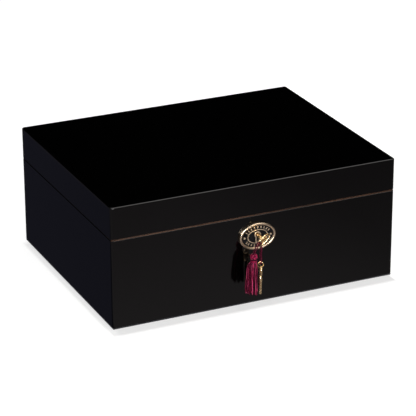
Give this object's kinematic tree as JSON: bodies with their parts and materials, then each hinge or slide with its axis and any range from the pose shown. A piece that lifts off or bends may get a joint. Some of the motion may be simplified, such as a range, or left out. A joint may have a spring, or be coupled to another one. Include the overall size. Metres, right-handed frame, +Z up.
{
  "type": "humidor",
  "caption": "Lacquered tabletop cigar chest with a hinged cedar-lined lid, a key lock with a tassel, a lift-out tray, a humidifier and a hygrometer.",
  "frame": {"origin": "centre of the felt base, on the surface that the chest stands on", "axes": "+X to the right, -Y to the front with the lock, +Z up"},
  "size_m": [0.394, 0.3473, 0.163],
  "materials": {
    "black_lacquer": "black piano lacquer, polished",
    "seam_wood": "bare mahogany edge, lightly oiled",
    "cedar": "bare planed cedar, unfinished",
    "gilt_brass": "polished pale gold plate",
    "satin_brass": "brushed brass",
    "lock_steel": "plain stamped steel",
    "black_enamel": "fired black enamel",
    "burgundy_silk": "lustrous rayon floss",
    "base_felt": "pressed black felt",
    "black_plastic": "fine textured moulding",
    "foam": "open-cell floral foam",
    "magnet": "nickel-plated disc",
    "dial_card": "matte printed card",
    "clear_lens": "flat clear glass",
    "needle_black": "matte black paint"
  },
  "bodies": {
    "chest": {"front_wall": "black_lacquer", "back_wall": "black_lacquer", "left_wall": "black_lacquer", "right_wall": "black_lacquer", "bottom_panel": "black_lacquer", "base_felt": "base_felt", "rim_lipping": "seam_wood", "floor_liner": "cedar", "liner_front": "cedar", "liner_back": "cedar", "liner_left": "cedar", "liner_right": "cedar", "tray_runners": "cedar", "escutcheon": "gilt_brass", "escutcheon_enamel": "black_enamel", "lock_case": "lock_steel", "lock_cover": "lock_steel", "lock_faceplate": "satin_brass", "faceplate_screws": "satin_brass", "left_hinge_box_leaf": "satin_brass", "right_hinge_box_leaf": "satin_brass", "left_hinge_pin": "satin_brass", "right_hinge_pin": "satin_brass", "hinge_box_screws": "satin_brass"},
    "lid": {"lid_top_panel": "black_lacquer", "lid_front_rail": "black_lacquer", "lid_back_rail": "black_lacquer", "lid_left_rail": "black_lacquer", "lid_right_rail": "black_lacquer", "lid_rim_lipping": "seam_wood", "lid_ceiling": "cedar", "lid_liner_strips": "cedar", "strike_plate": "satin_brass", "strike_screws": "satin_brass", "left_hinge_lid_leaf": "satin_brass", "right_hinge_lid_leaf": "satin_brass", "hinge_lid_screws": "satin_brass", "hygrometer_case": "gilt_brass", "hygrometer_dial": "dial_card", "hygrometer_lens": "clear_lens", "humidifier_magnets": "magnet"},
    "left_stay": {"left_quadrant_arm": "satin_brass"},
    "right_stay": {"right_quadrant_arm": "satin_brass"},
    "bolt": {"lock_bolt": "lock_steel"},
    "key": {"lock_key": "gilt_brass"},
    "tassel": {"key_cord": "burgundy_silk", "tassel_head": "burgundy_silk", "tassel_skirt": "burgundy_silk"},
    "hanging_key": {"spare_key_ring": "gilt_brass", "spare_key": "gilt_brass"},
    "tray": {"tray_long_sides": "cedar", "tray_left_end": "cedar", "tray_right_end": "cedar", "tray_floor": "cedar"},
    "tray_divider": {"tray_partition": "cedar"},
    "lower_divider": {"lower_partition": "cedar"},
    "needle": {"hygrometer_needle": "needle_black"},
    "humidifier": {"humidifier_pan": "black_plastic", "humidifier_grille": "black_plastic", "humidifier_foam": "foam"}
  },
  "joints": [
    {"name": "lid_hinge", "type": "hinge", "parent": "chest", "child": "lid", "pos_m": [0, 0.158, 0.12], "axis": [-1, 0, 0], "range_deg": [0, 95]},
    {"name": "left_stay_slide", "type": "hinge", "parent": "chest", "child": "left_stay", "pos_m": [-0.19, 0.158, 0.12], "axis": [-1, 0, 0], "range_deg": [0, 47.5]},
    {"name": "right_stay_slide", "type": "hinge", "parent": "chest", "child": "right_stay", "pos_m": [0.19, 0.158, 0.12], "axis": [-1, 0, 0], "range_deg": [0, 47.5]},
    {"name": "key_turn", "type": "hinge", "parent": "chest", "child": "key", "pos_m": [0, -0.1565, 0.094], "axis": [0, -1, 0], "range_deg": [-40, 50]},
    {"name": "bolt_slide", "type": "slide", "parent": "chest", "child": "bolt", "axis": [1, 0, 0], "range_m": [-0.0027, 0.0034]},
    {"name": "tassel_hang", "type": "hinge", "parent": "key", "child": "tassel", "pos_m": [-0.00636, -0.17725, 0.08866], "axis": [0, -1, 0], "range_deg": [-50, 40]},
    {"name": "spare_key_swing", "type": "hinge", "parent": "tassel", "child": "hanging_key", "pos_m": [-0.0046, -0.17725, 0.0648], "axis": [-1, 0, 0], "range_deg": [-10, 60]},
    {"name": "tray_lift", "type": "slide", "parent": "chest", "child": "tray", "axis": [0, 0, 1], "range_m": [0, 0.01]},
    {"name": "tray_divider_slide", "type": "slide", "parent": "tray", "child": "tray_divider", "axis": [1, 0, 0], "range_m": [-0.165, 0.165]},
    {"name": "lower_divider_slide", "type": "slide", "parent": "chest", "child": "lower_divider", "axis": [1, 0, 0], "range_m": [-0.172, 0.172]},
    {"name": "needle_turn", "type": "hinge", "parent": "lid", "child": "needle", "pos_m": [0, -0.062, 0.147], "axis": [0, 0, 1], "range_deg": [-135, 135]},
    {"name": "humidifier_pull", "type": "slide", "parent": "lid", "child": "humidifier", "axis": [0, 0, -1], "range_m": [0, 0.006]}
  ],
  "couplings": [
    {"joint": "left_stay_slide", "follows": "lid_hinge", "ratio": 0.5},
    {"joint": "right_stay_slide", "follows": "lid_hinge", "ratio": 0.5},
    {"joint": "bolt_slide", "follows": "key_turn", "m_per_rad": 0.0038197},
    {"joint": "tassel_hang", "follows": "key_turn", "ratio": -1}
  ]
}
